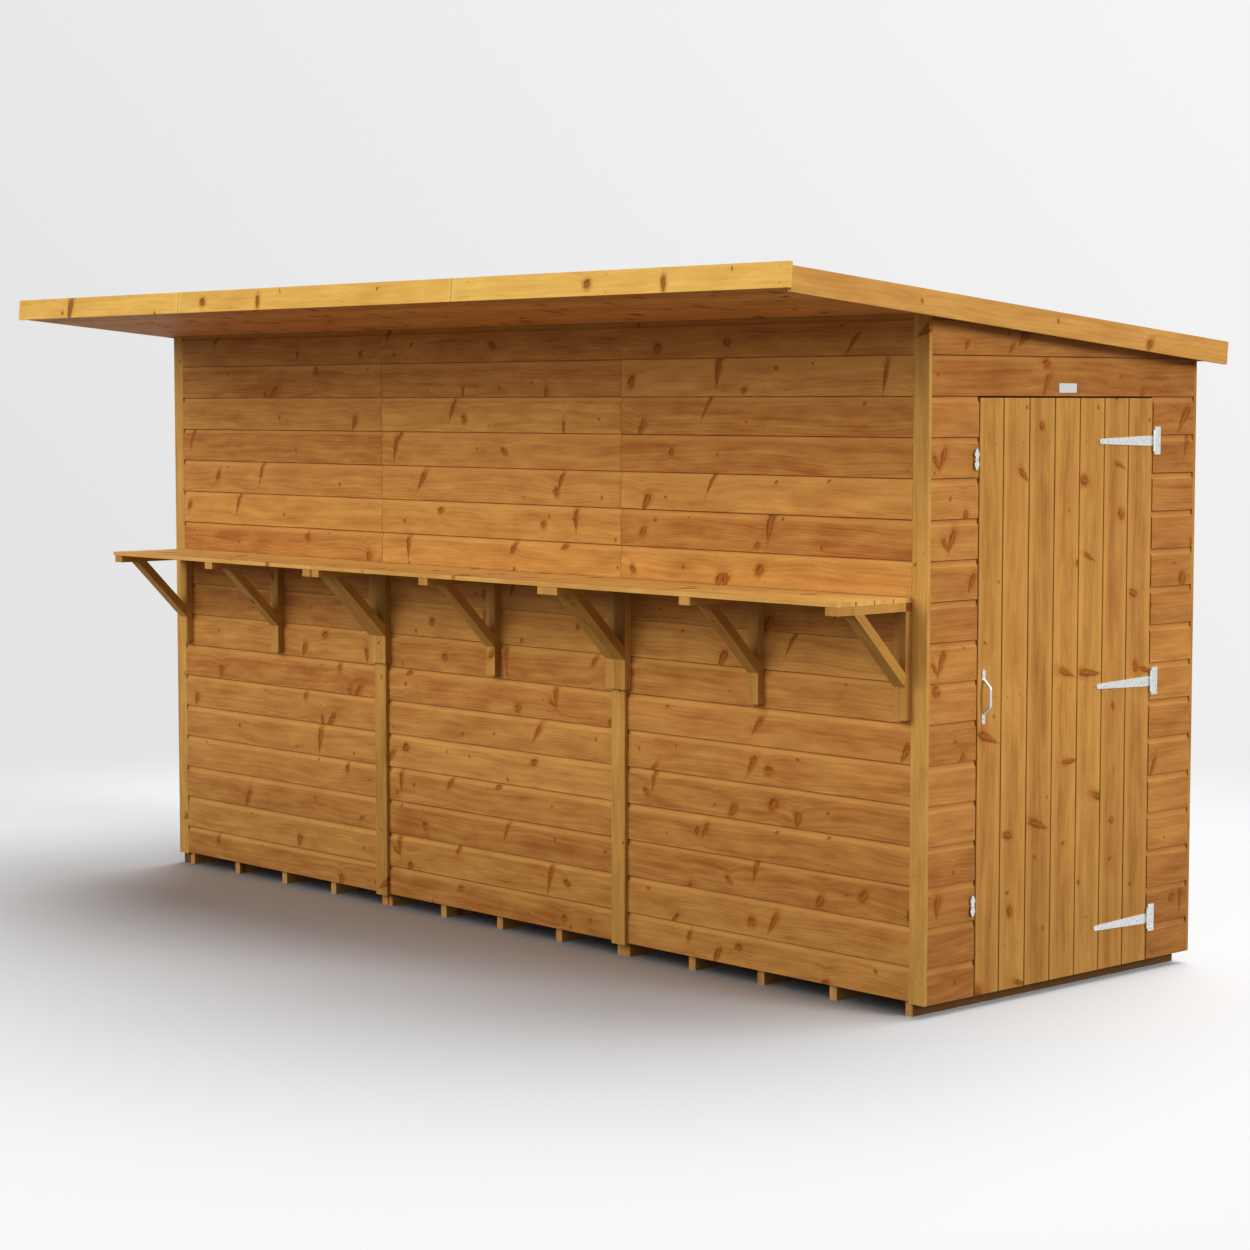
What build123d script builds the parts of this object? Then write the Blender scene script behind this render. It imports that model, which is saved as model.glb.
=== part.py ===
from build123d import *
import os
from math import cos, hypot, radians, sin

# Outdoor garden bar: a long softwood kiosk with three closed serving hatches over a counter
# shelf, a ledged door in the right-hand end and a single-slope roof that oversails the front.
# Millimetres. X runs along the front with the door at +X, Y runs from front to back, Z is up.
# The origin lies on the ground under the middle of the floor.

# Overall sizes: bays along the front, depth over the faces of the front and back cladding
bay_count = 3
bay_width = 1190.0
end_wall_offset = 50.0
bar_depth = 1204.0

# Timber sections
cladding_thickness = 12.0
frame_width = 28.0
frame_depth = 44.0

# Shiplap cladding: the cover of one board and the cove along its top edge
course_height = 112.5
first_course_line = 142.5
end_cladding_bottom = 38.0
cove_height = 20.0
cove_lip = 3.0
cove_depth = 5.5
cove_hollow_across = 0.8
cove_hollow_down = 0.66
line_tolerance = 0.01

# Floor
joist_height = 44.0
joist_width = 28.0
joists_per_bay = 5
edge_joist_width = 38.0
floor_board_thickness = 11.0
floor_board_cover = 112.5
groove_width = 5.0
groove_depth = 2.5

# Front wall
counter_height = 1153.0
header_course = 15
trim_width = 56.0
trim_thickness = 12.0
cover_strip_width = 60.0
hatch_gap = 1.0
hatch_frame_gap = 5.0
hatch_frame_depth = 28.0
hatch_rail_height = 44.0
post_width = 56.0

# Counter shelf and its brackets
shelf_thickness = 13.0
shelf_projection = 300.0
shelf_boards = 4
shelf_left_overhang = 8.0
bracket_width = 44.0
bracket_depth = 24.0
bracket_drop = 325.0
bracket_setback = 2.0
brackets_per_section = 3
brace_thickness = 28.0
brace_drop = 210.0
brace_reach = 207.0
bracket_pair_gap = 1.0

# Roof
roof_pitch = 5.1
header_height = 119.0
front_overhang = 603.0
rear_overhang = 79.0
left_overhang = 70.0
right_overhang = 53.0
rafter_depth = 28.0
rafter_width = 44.0
deck_thickness = 12.0
felt_thickness = 2.0
soffit_thickness = 8.0
soffit_boards = 5
fascia_thickness = 11.0
fascia_height = 68.0
fascia_drop = 11.0
left_barge_drop = 8.0
right_barge_drop = 21.0

# Door in the right-hand end
door_width = 777.0
door_board_cover = 112.5
door_gap = 5.0
door_course = 14
ledge_height = 90.0
ledge_thickness = 16.0
ledge_margin = 20.0
ledge_inset = 125.0
brace_width = 70.0

# T hinges: a tapered strap on the door and a cross plate on the wall
strap_length = 252.0
strap_root = 29.0
strap_tip = 15.0
hinge_metal = 2.5
knuckle_radius = 4.5
knuckle_offset = 5.0
pin_radius = 2.4
pin_clearance = 0.3
outer_bore = 1.2
knuckle_gap = 0.5
plate_height = 82.0
plate_width = 28.5
plate_start = 6.5
outer_knuckle = 16.0

# Pull handle: half heights are taken from its middle
handle_above_ledge = 5.0
handle_projection = 30.0
handle_inset = 24.0
handle_bar_radius = 4.0
handle_half_grip = 27.0
handle_half_bar = 49.0
handle_half_height = 77.0
handle_foot_width = 13.0
handle_foot_length = 32.0
handle_foot_thickness = 2.5
handle_bend = 9.0

# Turn buttons beside the free edge of the door
button_length = 58.0
button_width = 12.0
button_lobe_radius = 9.5
button_lobe_spacing = 28.0
button_thickness = 2.5
button_stand_off = 5.0
button_boss_radius = 7.0
button_seat = 0.3
button_from_gap = 14.5
button_above_bottom = 258.0
button_below_top = 169.5

# Faces and levels worked out from the sizes above
floor_half_length = bay_count * bay_width / 2
half_length = floor_half_length + end_wall_offset
half_depth = bar_depth / 2
front_face = -half_depth
back_face = half_depth
frame_out = half_depth - cladding_thickness
frame_in = frame_out - frame_depth
end_frame_out = half_length - cladding_thickness
end_frame_in = end_frame_out - frame_depth
floor_top = joist_height + floor_board_thickness
header_level = first_course_line + header_course * course_height
roof_height = header_level + header_height
shelf_top = counter_height + shelf_thickness
trim_inner = half_length - trim_width
door_front = -door_width / 2
door_back = door_width / 2
opening_front = door_front - door_gap
opening_back = door_back + door_gap
opening_top = first_course_line + door_course * course_height
door_top = opening_top - door_gap
low_ledge = end_cladding_bottom + ledge_inset
high_ledge = door_top - ledge_inset
ledge_heights = (low_ledge, (low_ledge + high_ledge) / 2, high_ledge)
handle_height = ledge_heights[1] + handle_above_ledge
button_heights = (end_cladding_bottom + button_above_bottom, door_top - button_below_top)
hinge_axis_y = door_back + door_gap / 2
hinge_axis_x = half_length + knuckle_offset
roof_left = -half_length - left_overhang
roof_right = half_length + right_overhang
slope = radians(roof_pitch)
wall_run = bar_depth / cos(slope)


def box(x, y, z):
    """A block between two values on each axis."""
    size = (x[1] - x[0], y[1] - y[0], z[1] - z[0])
    return Pos((x[0] + x[1]) / 2, (y[0] + y[1]) / 2, (z[0] + z[1]) / 2) * Box(*size)


def fused(pieces):
    """One solid from pieces that meet or overlap."""
    body = pieces[0]
    for piece in pieces[1:]:
        body = body + piece
    return body


def save(name, shape):
    """Write one sub-part under its node name."""
    export_step(shape, "parts/" + name + ".step")


# Profiles

def outward_plane(side, start):
    """Plane whose X points out of the named side and whose Y points up."""
    if side == "front":
        return Plane((start, -frame_out, 0), x_dir=(0, -1, 0), z_dir=(-1, 0, 0))
    if side == "back":
        return Plane((start, frame_out, 0), x_dir=(0, 1, 0), z_dir=(1, 0, 0))
    if side == "right":
        return Plane((end_frame_out, start, 0), x_dir=(1, 0, 0), z_dir=(0, -1, 0))
    return Plane((-end_frame_out, start, 0), x_dir=(-1, 0, 0), z_dir=(0, 1, 0))


def shiplap_face(low, high):
    """Section of a stack of shiplap boards: flat faces with a cove under each board edge."""
    out = cladding_thickness
    back = out - cove_depth
    lines = []
    here = (out, low)
    lines.append(Line((0, low), here))
    course = first_course_line
    while course <= high + line_tolerance:
        if course - cove_height > low:
            arris = (out, course - cove_height)
            hollow = (out - cove_hollow_across * cove_depth, course - cove_hollow_down * cove_height)
            lip = (back, course - cove_lip)
            lines.append(Line(here, arris))
            lines.append(ThreePointArc(arris, hollow, lip))
            lines.append(Line(lip, (back, course)))
            here = (back, course)
            if course < high - line_tolerance:
                lines.append(Line(here, (out, course)))
                here = (out, course)
        course += course_height
    if high - here[1] > line_tolerance:
        lines.append(Line(here, (here[0], high)))
        here = (here[0], high)
    lines.append(Line(here, (0, high)))
    lines.append(Line((0, high), (0, low)))
    return make_face(lines)


def shiplap(side, run, low, high):
    """Shiplap boards on one side of the building, between two places along it."""
    start = run[1] if side in ("front", "right") else run[0]
    plane = outward_plane(side, start)
    return extrude(plane * shiplap_face(low, high), run[1] - run[0])


def grooved_face(width, thickness, pitch):
    """Section of boards laid edge to edge with a V groove in their outer face at each joint."""
    points = [(0, 0), (0, thickness)]
    joint = pitch
    while joint < width - groove_width:
        points.append((joint - groove_width / 2, thickness))
        points.append((joint, thickness - groove_depth))
        points.append((joint + groove_width / 2, thickness))
        joint += pitch
    points.append((width, thickness))
    points.append((width, 0))
    return make_face(Polyline(*points, close=True))


# Roof geometry: distances along the slope from the front face, and above the wall tops

def roof_point(along, above):
    """Y and Z of a place on the roof's section."""
    y = front_face + along * cos(slope) + above * sin(slope)
    z = roof_height - along * sin(slope) + above * cos(slope)
    return (y, z)


def roof_bar(x, along, above):
    """A straight piece that follows the slope."""
    corners = [
        roof_point(along[0], above[0]),
        roof_point(along[1], above[0]),
        roof_point(along[1], above[1]),
        roof_point(along[0], above[1]),
    ]
    plane = Plane((x[0], 0, 0), x_dir=(0, 1, 0), z_dir=(1, 0, 0))
    return extrude(plane * make_face(Polyline(*corners, close=True)), x[1] - x[0])


def under_roof(shape):
    """The shape with everything above the wall tops cut away."""
    reach = front_overhang + rear_overhang
    above = roof_bar((roof_left, roof_right), (-reach, wall_run + reach), (0, roof_height / 2))
    return shape - above


# Floor

def bay_range(index):
    """X of the two edges of a bay, counted from the left."""
    left = -floor_half_length + index * bay_width
    return (left, left + bay_width)


def floor_section(index):
    left, right = bay_range(index)
    y = (-frame_out, frame_out)
    z = (0, joist_height)
    pieces = []
    step = (bay_width - joist_width) / (joists_per_bay - 1)
    for n in range(joists_per_bay):
        x = left + n * step
        pieces.append(box((x, x + joist_width), y, z))
    if index == 0:
        pieces.append(box((left - edge_joist_width, left), y, z))
        left -= edge_joist_width
    plane = Plane((left, -frame_out, joist_height), x_dir=(0, 1, 0), z_dir=(1, 0, 0))
    face = grooved_face(2 * frame_out, floor_board_thickness, floor_board_cover)
    return fused([extrude(plane * face, right - left)] + pieces)


# Walls

def stud_places(x, studs):
    """Left edges of evenly spaced studs, the first and last flush with the ends."""
    step = (x[1] - x[0] - frame_width) / (studs - 1)
    return [x[0] + n * step for n in range(studs)]


def wall_frame(x, y, z, studs, rails):
    """Studs and rails of a wall that runs along X."""
    pieces = []
    for left in stud_places(x, studs):
        pieces.append(box((left, left + frame_width), y, z))
    for low in rails:
        pieces.append(box(x, y, (low, low + frame_width)))
    return pieces


def end_frame(x, y, z, studs, rails):
    """Studs and rails of a wall that runs along Y."""
    pieces = []
    for front in stud_places(y, studs):
        pieces.append(box(x, (front, front + frame_width), z))
    for low in rails:
        pieces.append(box(x, y, (low, low + frame_width)))
    return pieces


def wall_range(index, corner):
    """X of the two edges of a front or back wall panel: the outer ones reach a corner piece."""
    left, right = bay_range(index)
    if index == 0:
        left = -corner
    if index == bay_count - 1:
        right = corner
    return (left, right)


def front_wall(index):
    cladding = shiplap("front", wall_range(index, trim_inner), joist_height, counter_height)
    rails = (floor_top, counter_height - frame_width)
    x = wall_range(index, end_frame_out)
    frame = wall_frame(x, (-frame_out, -frame_in), (floor_top, counter_height), 3, rails)
    return fused([cladding] + frame)


def back_wall(index):
    cladding = shiplap("back", wall_range(index, trim_inner), joist_height, roof_height)
    top = roof_point(wall_run, 0)[1]
    rails = (floor_top, counter_height - frame_width, top - frame_width)
    x = wall_range(index, end_frame_out)
    frame = wall_frame(x, (frame_in, frame_out), (floor_top, roof_height), 3, rails)
    return under_roof(fused([cladding] + frame))


def left_end_wall():
    y = (-frame_out, frame_out)
    cladding = shiplap("left", y, end_cladding_bottom, roof_height)
    top = roof_point(wall_run, 0)[1]
    rails = (floor_top, counter_height - frame_width, top - frame_width)
    x = (-end_frame_out, -end_frame_in)
    frame = end_frame(x, (-frame_in, frame_in), (floor_top, roof_height), 3, rails)
    return under_roof(fused([cladding] + frame))


def door_end_strip(outer, inner):
    """The wall between a corner and the doorway."""
    cladding = shiplap("right", outer, end_cladding_bottom, roof_height)
    x = (end_frame_in, end_frame_out)
    frame = end_frame(x, inner, (floor_top, roof_height), 2, (floor_top,))
    return under_roof(fused([cladding] + frame))


def door_end_header():
    y = (opening_front, opening_back)
    cladding = shiplap("right", y, opening_top, roof_height)
    rail = box((end_frame_in, end_frame_out), y, (opening_top, opening_top + frame_depth))
    return under_roof(fused([cladding, rail]))


def front_header():
    x = (-end_frame_out, end_frame_out)
    y = (-frame_out, -frame_in)
    face = shiplap("front", (-trim_inner, trim_inner), header_level, roof_height)
    low_rail = box(x, y, (header_level, header_level + frame_width))
    top_rail = box(x, y, (roof_height - frame_depth, roof_height))
    return under_roof(fused([face, low_rail, top_rail]))


# Hatches and the posts between them

def hatch_range(index):
    left, right = wall_range(index, trim_inner)
    return (left + hatch_gap, right - hatch_gap)


def hatch_frame_range(index):
    """The hatch's own frame stands clear of the posts."""
    left, right = bay_range(index)
    left += post_width / 2
    right -= post_width / 2
    if index == 0:
        left = -trim_inner
    if index == bay_count - 1:
        right = trim_inner
    return (left + hatch_frame_gap, right - hatch_frame_gap)


def hatch(index):
    low = shelf_top + hatch_gap
    high = header_level - hatch_gap
    boards = shiplap("front", hatch_range(index), low, high)
    x = hatch_frame_range(index)
    y = (-frame_out, -frame_out + hatch_frame_depth)
    low += hatch_frame_gap
    high -= hatch_frame_gap
    pieces = [boards]
    for bottom in (low, high - hatch_rail_height):
        pieces.append(box(x, y, (bottom, bottom + hatch_rail_height)))
    for left in (x[0], x[1] - hatch_rail_height):
        pieces.append(box((left, left + hatch_rail_height), y, (low, high)))
    return fused(pieces)


def middle_post(index):
    """Post on the joint between two bays, from the counter to the header."""
    x = bay_range(index)[1]
    half = post_width / 2
    return box((x - half, x + half), (-frame_out, -frame_in), (shelf_top, header_level))


def end_post(hand):
    """Post behind a corner trim."""
    x = sorted((hand * trim_inner, hand * end_frame_out))
    return box(x, (-frame_out, -frame_in), (counter_height, header_level))


# Trims and cover strips

def corner_trim(hand, side):
    """Board over the edge of the end cladding, level with the cladding beside it."""
    x = sorted((hand * trim_inner, hand * half_length))
    if side == "front":
        y = (front_face, -frame_out)
    else:
        y = (frame_out, back_face)
    return under_roof(box(x, y, (end_cladding_bottom, roof_height)))


def cover_strip(index, side, high):
    x = bay_range(index)[1]
    half = cover_strip_width / 2
    if side == "front":
        y = (front_face - trim_thickness, front_face)
    else:
        y = (back_face, back_face + trim_thickness)
    return under_roof(box((x - half, x + half), y, (end_cladding_bottom, high)))


# Counter

def shelf_range(index):
    """X of the two ends of a shelf section: the outer ones stop at the corner trims."""
    left, right = bay_range(index)
    return (max(left, -trim_inner), min(right, trim_inner))


def shelf(index):
    """Counter boards; the left-hand section runs a little past its bracket, round the trim."""
    left, right = shelf_range(index)
    end = left - shelf_left_overhang if index == 0 else left
    out = front_face - shelf_projection
    width = -frame_in - out
    cover = shelf_projection / shelf_boards
    plane = Plane((end, out, counter_height), x_dir=(0, 1, 0), z_dir=(1, 0, 0))
    boards = extrude(plane * grooved_face(width, shelf_thickness, cover), right - end)
    if index == 0:
        boards = boards - box((end, left), (front_face, -frame_in), (counter_height, shelf_top))
    return boards


def bracket(left):
    """Leg on the wall, arm under the shelf and a diagonal brace between them."""
    wall = front_face
    arm_out = wall - shelf_projection + bracket_setback
    top = counter_height
    arm = [
        (arm_out, top),
        (wall, top),
        (wall, top - bracket_drop),
        (wall - bracket_depth, top - bracket_drop),
        (wall - bracket_depth, top - bracket_depth),
        (arm_out, top - bracket_depth),
    ]
    under_arm = top - bracket_depth
    leg_front = wall - bracket_depth
    length = hypot(brace_drop, brace_reach)
    brace = [
        (leg_front, under_arm - brace_drop),
        (leg_front, under_arm - brace_drop + brace_thickness * length / brace_reach),
        (leg_front - brace_reach + brace_thickness * length / brace_drop, under_arm),
        (leg_front - brace_reach, under_arm),
    ]
    plane = Plane((left, 0, 0), x_dir=(0, 1, 0), z_dir=(1, 0, 0))
    outline = make_face(Polyline(*arm, close=True)) + make_face(Polyline(*brace, close=True))
    return extrude(plane * outline, bracket_width)


def bracket_places():
    """Left edges of the brackets: one at each end and one in the middle of every section."""
    groups = []
    for index in range(bay_count):
        left, right = shelf_range(index)
        first = left + (bracket_pair_gap / 2 if index else 0)
        last = right - bracket_width - (bracket_pair_gap / 2 if index < bay_count - 1 else 0)
        step = (last - first) / (brackets_per_section - 1)
        places = [first + n * step for n in range(brackets_per_section)]
        if groups:
            groups[-1].append(places[0])
            groups += [[place] for place in places[1:]]
        else:
            groups = [[place] for place in places]
    return groups


# Roof

roof_front = -front_overhang
roof_back = wall_run + rear_overhang
boards_left = roof_left + fascia_thickness
boards_right = roof_right - fascia_thickness


def roof_deck():
    along = (roof_front + fascia_thickness, roof_back - fascia_thickness)
    x = (boards_left, boards_right)
    pieces = [roof_bar(x, along, (rafter_depth, rafter_depth + deck_thickness))]
    half = rafter_width / 2
    over_wall = half_length - half
    places = [boards_left + half, -over_wall, over_wall, boards_right - half]
    for index in range(bay_count):
        places.append(bay_range(index)[0] + bay_width / 2)
    for index in range(1, bay_count):
        places.append(bay_range(index)[0])
    for place in places:
        pieces.append(roof_bar((place - half, place + half), along, (0, rafter_depth)))
    return fused(pieces)


def roof_felt():
    along = (roof_front + fascia_thickness, roof_back)
    above = rafter_depth + deck_thickness
    return roof_bar((boards_left, boards_right), along, (above, above + felt_thickness))


def soffit():
    """Boards laid along the underside of the overhang, counted from the wall out."""
    width = front_overhang - fascia_thickness
    plane = Plane((boards_left, *roof_point(0, 0)), x_dir=(0, -cos(slope), sin(slope)), z_dir=(1, 0, 0))
    face = grooved_face(width, soffit_thickness, width / soffit_boards)
    return extrude(plane * face, boards_right - boards_left)


def front_fascia():
    along = (roof_front, roof_front + fascia_thickness)
    return roof_bar((roof_left, roof_right), along, (-fascia_drop, fascia_height - fascia_drop))


def rear_fascia():
    along = (roof_back - fascia_thickness, roof_back)
    return roof_bar((boards_left, boards_right), along, (-fascia_drop, rafter_depth + deck_thickness))


def bargeboard(x, drop):
    along = (roof_front + fascia_thickness, roof_back)
    return roof_bar(x, along, (-drop, fascia_height - drop))


# Door and its fittings

def door_leaf():
    inner = end_frame_out
    plane = Plane((inner, door_back, end_cladding_bottom), x_dir=(0, -1, 0), z_dir=(0, 0, 1))
    face = grooved_face(door_width, cladding_thickness, door_board_cover)
    boards = extrude(plane * face, door_top - end_cladding_bottom)
    pieces = [boards]
    x = (inner - ledge_thickness, inner)
    y = (door_front + ledge_margin, door_back - ledge_margin)
    for height in ledge_heights:
        pieces.append(box(x, y, (height - ledge_height / 2, height + ledge_height / 2)))
    for low, high in zip(ledge_heights, ledge_heights[1:]):
        pieces.append(door_brace(x, y, low + ledge_height / 2, high - ledge_height / 2))
    return fused(pieces)


def door_brace(x, y, low, high):
    """Diagonal brace that rises from the hinged edge to the free edge."""
    corners = [
        (y[1], low),
        (y[1] - brace_width, low),
        (y[0], high),
        (y[0] + brace_width, high),
    ]
    plane = Plane((x[0], 0, 0), x_dir=(0, 1, 0), z_dir=(1, 0, 0))
    return extrude(plane * make_face(Polyline(*corners, close=True)), x[1] - x[0])


def upright_tube(z, outer, inner):
    """A knuckle round the hinge axis."""
    height = z[1] - z[0]
    middle = Pos(hinge_axis_x, hinge_axis_y, (z[0] + z[1]) / 2)
    return middle * (Cylinder(outer, height) - Cylinder(inner, height))


def hinge_strap(height):
    """Tapered strap with the middle knuckle."""
    half = strap_root / 2
    tip = strap_tip / 2
    end = hinge_axis_y - strap_length
    plane = Plane((half_length, 0, height), x_dir=(0, 1, 0), z_dir=(1, 0, 0))
    outline = Polyline(
        (hinge_axis_y, -half), (hinge_axis_y - strap_root, -half), (end + tip, -tip),
        (end + tip, tip), (hinge_axis_y - strap_root, half), (hinge_axis_y, half), close=True,
    )
    flat = make_face(outline) + Pos(end + tip, 0) * Circle(tip)
    strap = extrude(plane * flat, hinge_metal)
    reach = (height - half, height + half)
    bore = pin_radius + pin_clearance
    strap = strap - Pos(hinge_axis_x, hinge_axis_y, height) * Cylinder(bore, strap_root)
    return strap + upright_tube(reach, knuckle_radius, bore)


def hinge_plate(height):
    """Cross plate with the two outer knuckles and the pin."""
    inner = strap_root / 2 + knuckle_gap
    outer = inner + outer_knuckle
    x = (half_length, half_length + hinge_metal)
    plate_in = hinge_axis_y + plate_start
    y = (plate_in, plate_in + plate_width)
    pieces = [box(x, y, (height - plate_height / 2, height + plate_height / 2))]
    for side in (-1, 1):
        z = sorted((height + side * inner, height + side * outer))
        pieces.append(box(x, (hinge_axis_y, plate_in), z))
        pieces.append(upright_tube(z, knuckle_radius, outer_bore))
    pin = Pos(hinge_axis_x, hinge_axis_y, height) * Cylinder(pin_radius, 2 * outer)
    return fused(pieces + [pin])


def handle_foot(y, middle, side):
    """Flat foot with a round outer end, above or below the grip."""
    half = handle_foot_width / 2
    outer = middle + side * (handle_half_height - half)
    inner = middle + side * (handle_half_height - handle_foot_length)
    x = (half_length, half_length + handle_foot_thickness)
    plate = box(x, (y - half, y + half), sorted((inner, outer)))
    end = Plane((half_length, y, outer), z_dir=(1, 0, 0)) * Circle(half)
    return plate + extrude(end, handle_foot_thickness)


def pull_handle():
    """Round bar that leaves its two feet at a slant and runs straight between the bends."""
    y = door_front + handle_inset
    foot = half_length + handle_foot_thickness / 2
    grip = half_length + handle_projection - handle_bar_radius
    ends = (handle_height - handle_half_bar, handle_height + handle_half_bar)
    bends = (handle_height - handle_half_grip, handle_height + handle_half_grip)
    path = FilletPolyline(
        (foot, y, ends[0]), (grip, y, bends[0]), (grip, y, bends[1]), (foot, y, ends[1]), radius=handle_bend
    )
    start = Plane((foot, y, ends[0]), z_dir=(grip - foot, 0, bends[0] - ends[0]))
    bar = sweep(start * Circle(handle_bar_radius), path=path)
    feet = [handle_foot(y, handle_height, side) for side in (-1, 1)]
    behind = (half_length - handle_projection, half_length)
    z = (handle_height - handle_half_height, handle_height + handle_half_height)
    return fused([bar] + feet) - box(behind, (y - handle_inset, y + handle_inset), z)


def turn_button(height):
    """Waisted blade with round ends on a boss, upright when it frees the door."""
    y = opening_front - button_from_gap
    blade_in = half_length + button_stand_off
    plane = Plane((blade_in, y, height), x_dir=(0, 0, 1), z_dir=(1, 0, 0))
    outline = SlotOverall(button_length, button_width)
    for side in (-1, 1):
        outline = outline + Pos(side * button_lobe_spacing / 2, 0) * Circle(button_lobe_radius)
    blade = extrude(plane * outline, button_thickness)
    start = half_length + button_seat
    boss_plane = Plane((start, y, height), z_dir=(1, 0, 0))
    boss = extrude(boss_plane * Circle(button_boss_radius), blade_in - start + button_thickness)
    return blade + boss


def main():
    os.makedirs("parts", exist_ok=True)
    bays = ("left", "middle", "right")
    for index, bay in enumerate(bays):
        save("floor_" + bay, floor_section(index))
        save("front_wall_" + bay, front_wall(index))
        save("hatch_" + bay, hatch(index))
        save("back_wall_" + bay, back_wall(index))
        save("shelf_" + bay, shelf(index))
    save("front_header", front_header())
    save("left_end_wall", left_end_wall())
    save("door_end_front", door_end_strip((-frame_out, opening_front), (-frame_in, opening_front)))
    save("door_end_back", door_end_strip((opening_back, frame_out), (opening_back, frame_in)))
    save("door_end_header", door_end_header())
    for name, hand in (("left", -1), ("right", 1)):
        save("serving_post_" + name + "_end", end_post(hand))
        for side in ("front", "back"):
            save(side + "_" + name + "_trim", corner_trim(hand, side))
    for index, name in ((0, "left"), (1, "right")):
        save("serving_post_" + name, middle_post(index))
        save("front_cover_strip_" + name, cover_strip(index, "front", counter_height - bracket_drop))
        save("back_cover_strip_" + name, cover_strip(index, "back", roof_height))
    for number, places in enumerate(bracket_places(), start=1):
        save("bracket_" + str(number), Compound(children=[bracket(place) for place in places]))
    save("roof_deck", roof_deck())
    save("roof_felt", roof_felt())
    save("soffit", soffit())
    save("front_fascia", front_fascia())
    save("rear_fascia", rear_fascia())
    save("left_bargeboard", bargeboard((roof_left, boards_left), left_barge_drop))
    save("right_bargeboard", bargeboard((boards_right, roof_right), right_barge_drop))
    save("door_leaf", door_leaf())
    for name, height in zip(("lower", "middle", "upper"), ledge_heights):
        save(name + "_hinge_strap", hinge_strap(height))
        save(name + "_hinge_plate", hinge_plate(height))
    save("pull_handle", pull_handle())
    for name, height in zip(("lower", "upper"), button_heights):
        save(name + "_turn_button", turn_button(height))


main()
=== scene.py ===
# Outdoor garden bar: finishes, fixings, studio light and camera.
from math import cos, pi, radians, sin, tan

import bmesh
import bpy
from mathutils import Matrix, Vector


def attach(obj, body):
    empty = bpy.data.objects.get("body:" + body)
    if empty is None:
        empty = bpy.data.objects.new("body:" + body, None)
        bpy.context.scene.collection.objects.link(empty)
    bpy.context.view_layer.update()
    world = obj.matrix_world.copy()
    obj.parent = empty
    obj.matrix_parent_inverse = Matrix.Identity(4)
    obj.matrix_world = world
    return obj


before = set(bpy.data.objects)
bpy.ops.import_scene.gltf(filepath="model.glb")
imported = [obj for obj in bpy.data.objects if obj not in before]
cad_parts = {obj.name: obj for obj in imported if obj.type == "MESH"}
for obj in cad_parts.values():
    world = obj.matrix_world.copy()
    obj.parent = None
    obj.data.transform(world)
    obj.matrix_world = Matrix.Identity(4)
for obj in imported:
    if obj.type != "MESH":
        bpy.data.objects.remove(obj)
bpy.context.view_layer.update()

# Camera at the photograph's place, in metres and degrees
CAMERA_AT = (6.953, -6.395, 1.695)
CAMERA_TURN = 47.58
CAMERA_DROP = 4.47
FOCAL_PIXELS = 2825.8
IMAGE_PIXELS = 1250
SENSOR_MM = 36.0

# Places on the solids that the finishes and fixings follow, in metres
BAY = 1.190
BAY_START = -1.785
COURSE = 0.1125
COURSE_START = 0.030
HALF_LENGTH = 1.835
HALF_DEPTH = 0.602
CLADDING = 0.012
COVER_THICK = 0.012
BRACKET_THICK = 0.024
MIDDLE_BRACKET = 3.0
# the brackets' braces rise at 45 degrees; their middle line in Y + Z, square to it
DIAGONAL = 0.7071
BRACE_MIDDLE = 0.208
FRAME_OUT = 0.590
END_FRAME_OUT = 1.823
COUNTER = 1.153
SHELF_TOP = 1.166
SHELF_FRONT = -0.902
SHELF_BOARD = 0.075
HEADER = 1.830
DOORWAY_TOP = 1.7175
WALL_BOTTOM = 0.038
DOOR_HALF = 0.3885
DOOR_BOARD = 0.1125
LEDGES = (0.163, 0.87525, 1.5875)
LEDGE_STEP = LEDGES[1] - LEDGES[0]
LEDGE_HEIGHT = 0.090
# share of a door brace's run that lies level, and that rises
BRACE_LEVEL = 0.7312
BRACE_RISE = 0.6821
ROOF_PITCH = radians(5.1)
EAVES = 1.949
ROOF_LEFT = -1.905
ROOF_RIGHT = 1.888
ROOF_FRONT = -0.603
ROOF_REAR = 1.28778
ROOF_BOARD = 0.011
FELT_ABOVE = 0.042
SOFFIT_BOARD = 0.1184
SOFFIT_BOARDS = 5
JOIST_HEIGHT = 0.044
JOIST_WIDTH = 0.028
JOIST_STEP = 0.2905
JOISTS = 5.0


def linear(code):
    """Linear colour with alpha from an sRGB hex value."""
    channels = [int(code[i:i + 2], 16) / 255 for i in (1, 3, 5)]
    return tuple(c / 12.92 if c <= 0.04045 else ((c + 0.055) / 1.055) ** 2.4 for c in channels) + (1.0,)


def new_object(name, data):
    """Object in the scene, at the origin."""
    made = bpy.data.objects.new(name, data)
    bpy.context.scene.collection.objects.link(made)
    return made


def add(tree, kind, *values, named=None, **settings):
    """Add a node with its settings and fill its inputs with sockets, nodes or plain values.

    A kind in capitals is an operation of the Math node.
    """
    if kind.isupper():
        settings["operation"] = kind
        kind = "ShaderNodeMath"
    node = tree.nodes.new(kind)
    for key, value in settings.items():
        setattr(node, key, value)
    for key, value in list(enumerate(values)) + list((named or {}).items()):
        if isinstance(value, bpy.types.Node):
            value = value.outputs[0]
        if isinstance(value, bpy.types.NodeSocket):
            tree.links.new(value, node.inputs[key])
        elif value is not None:
            node.inputs[key].default_value = value
    return node


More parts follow.
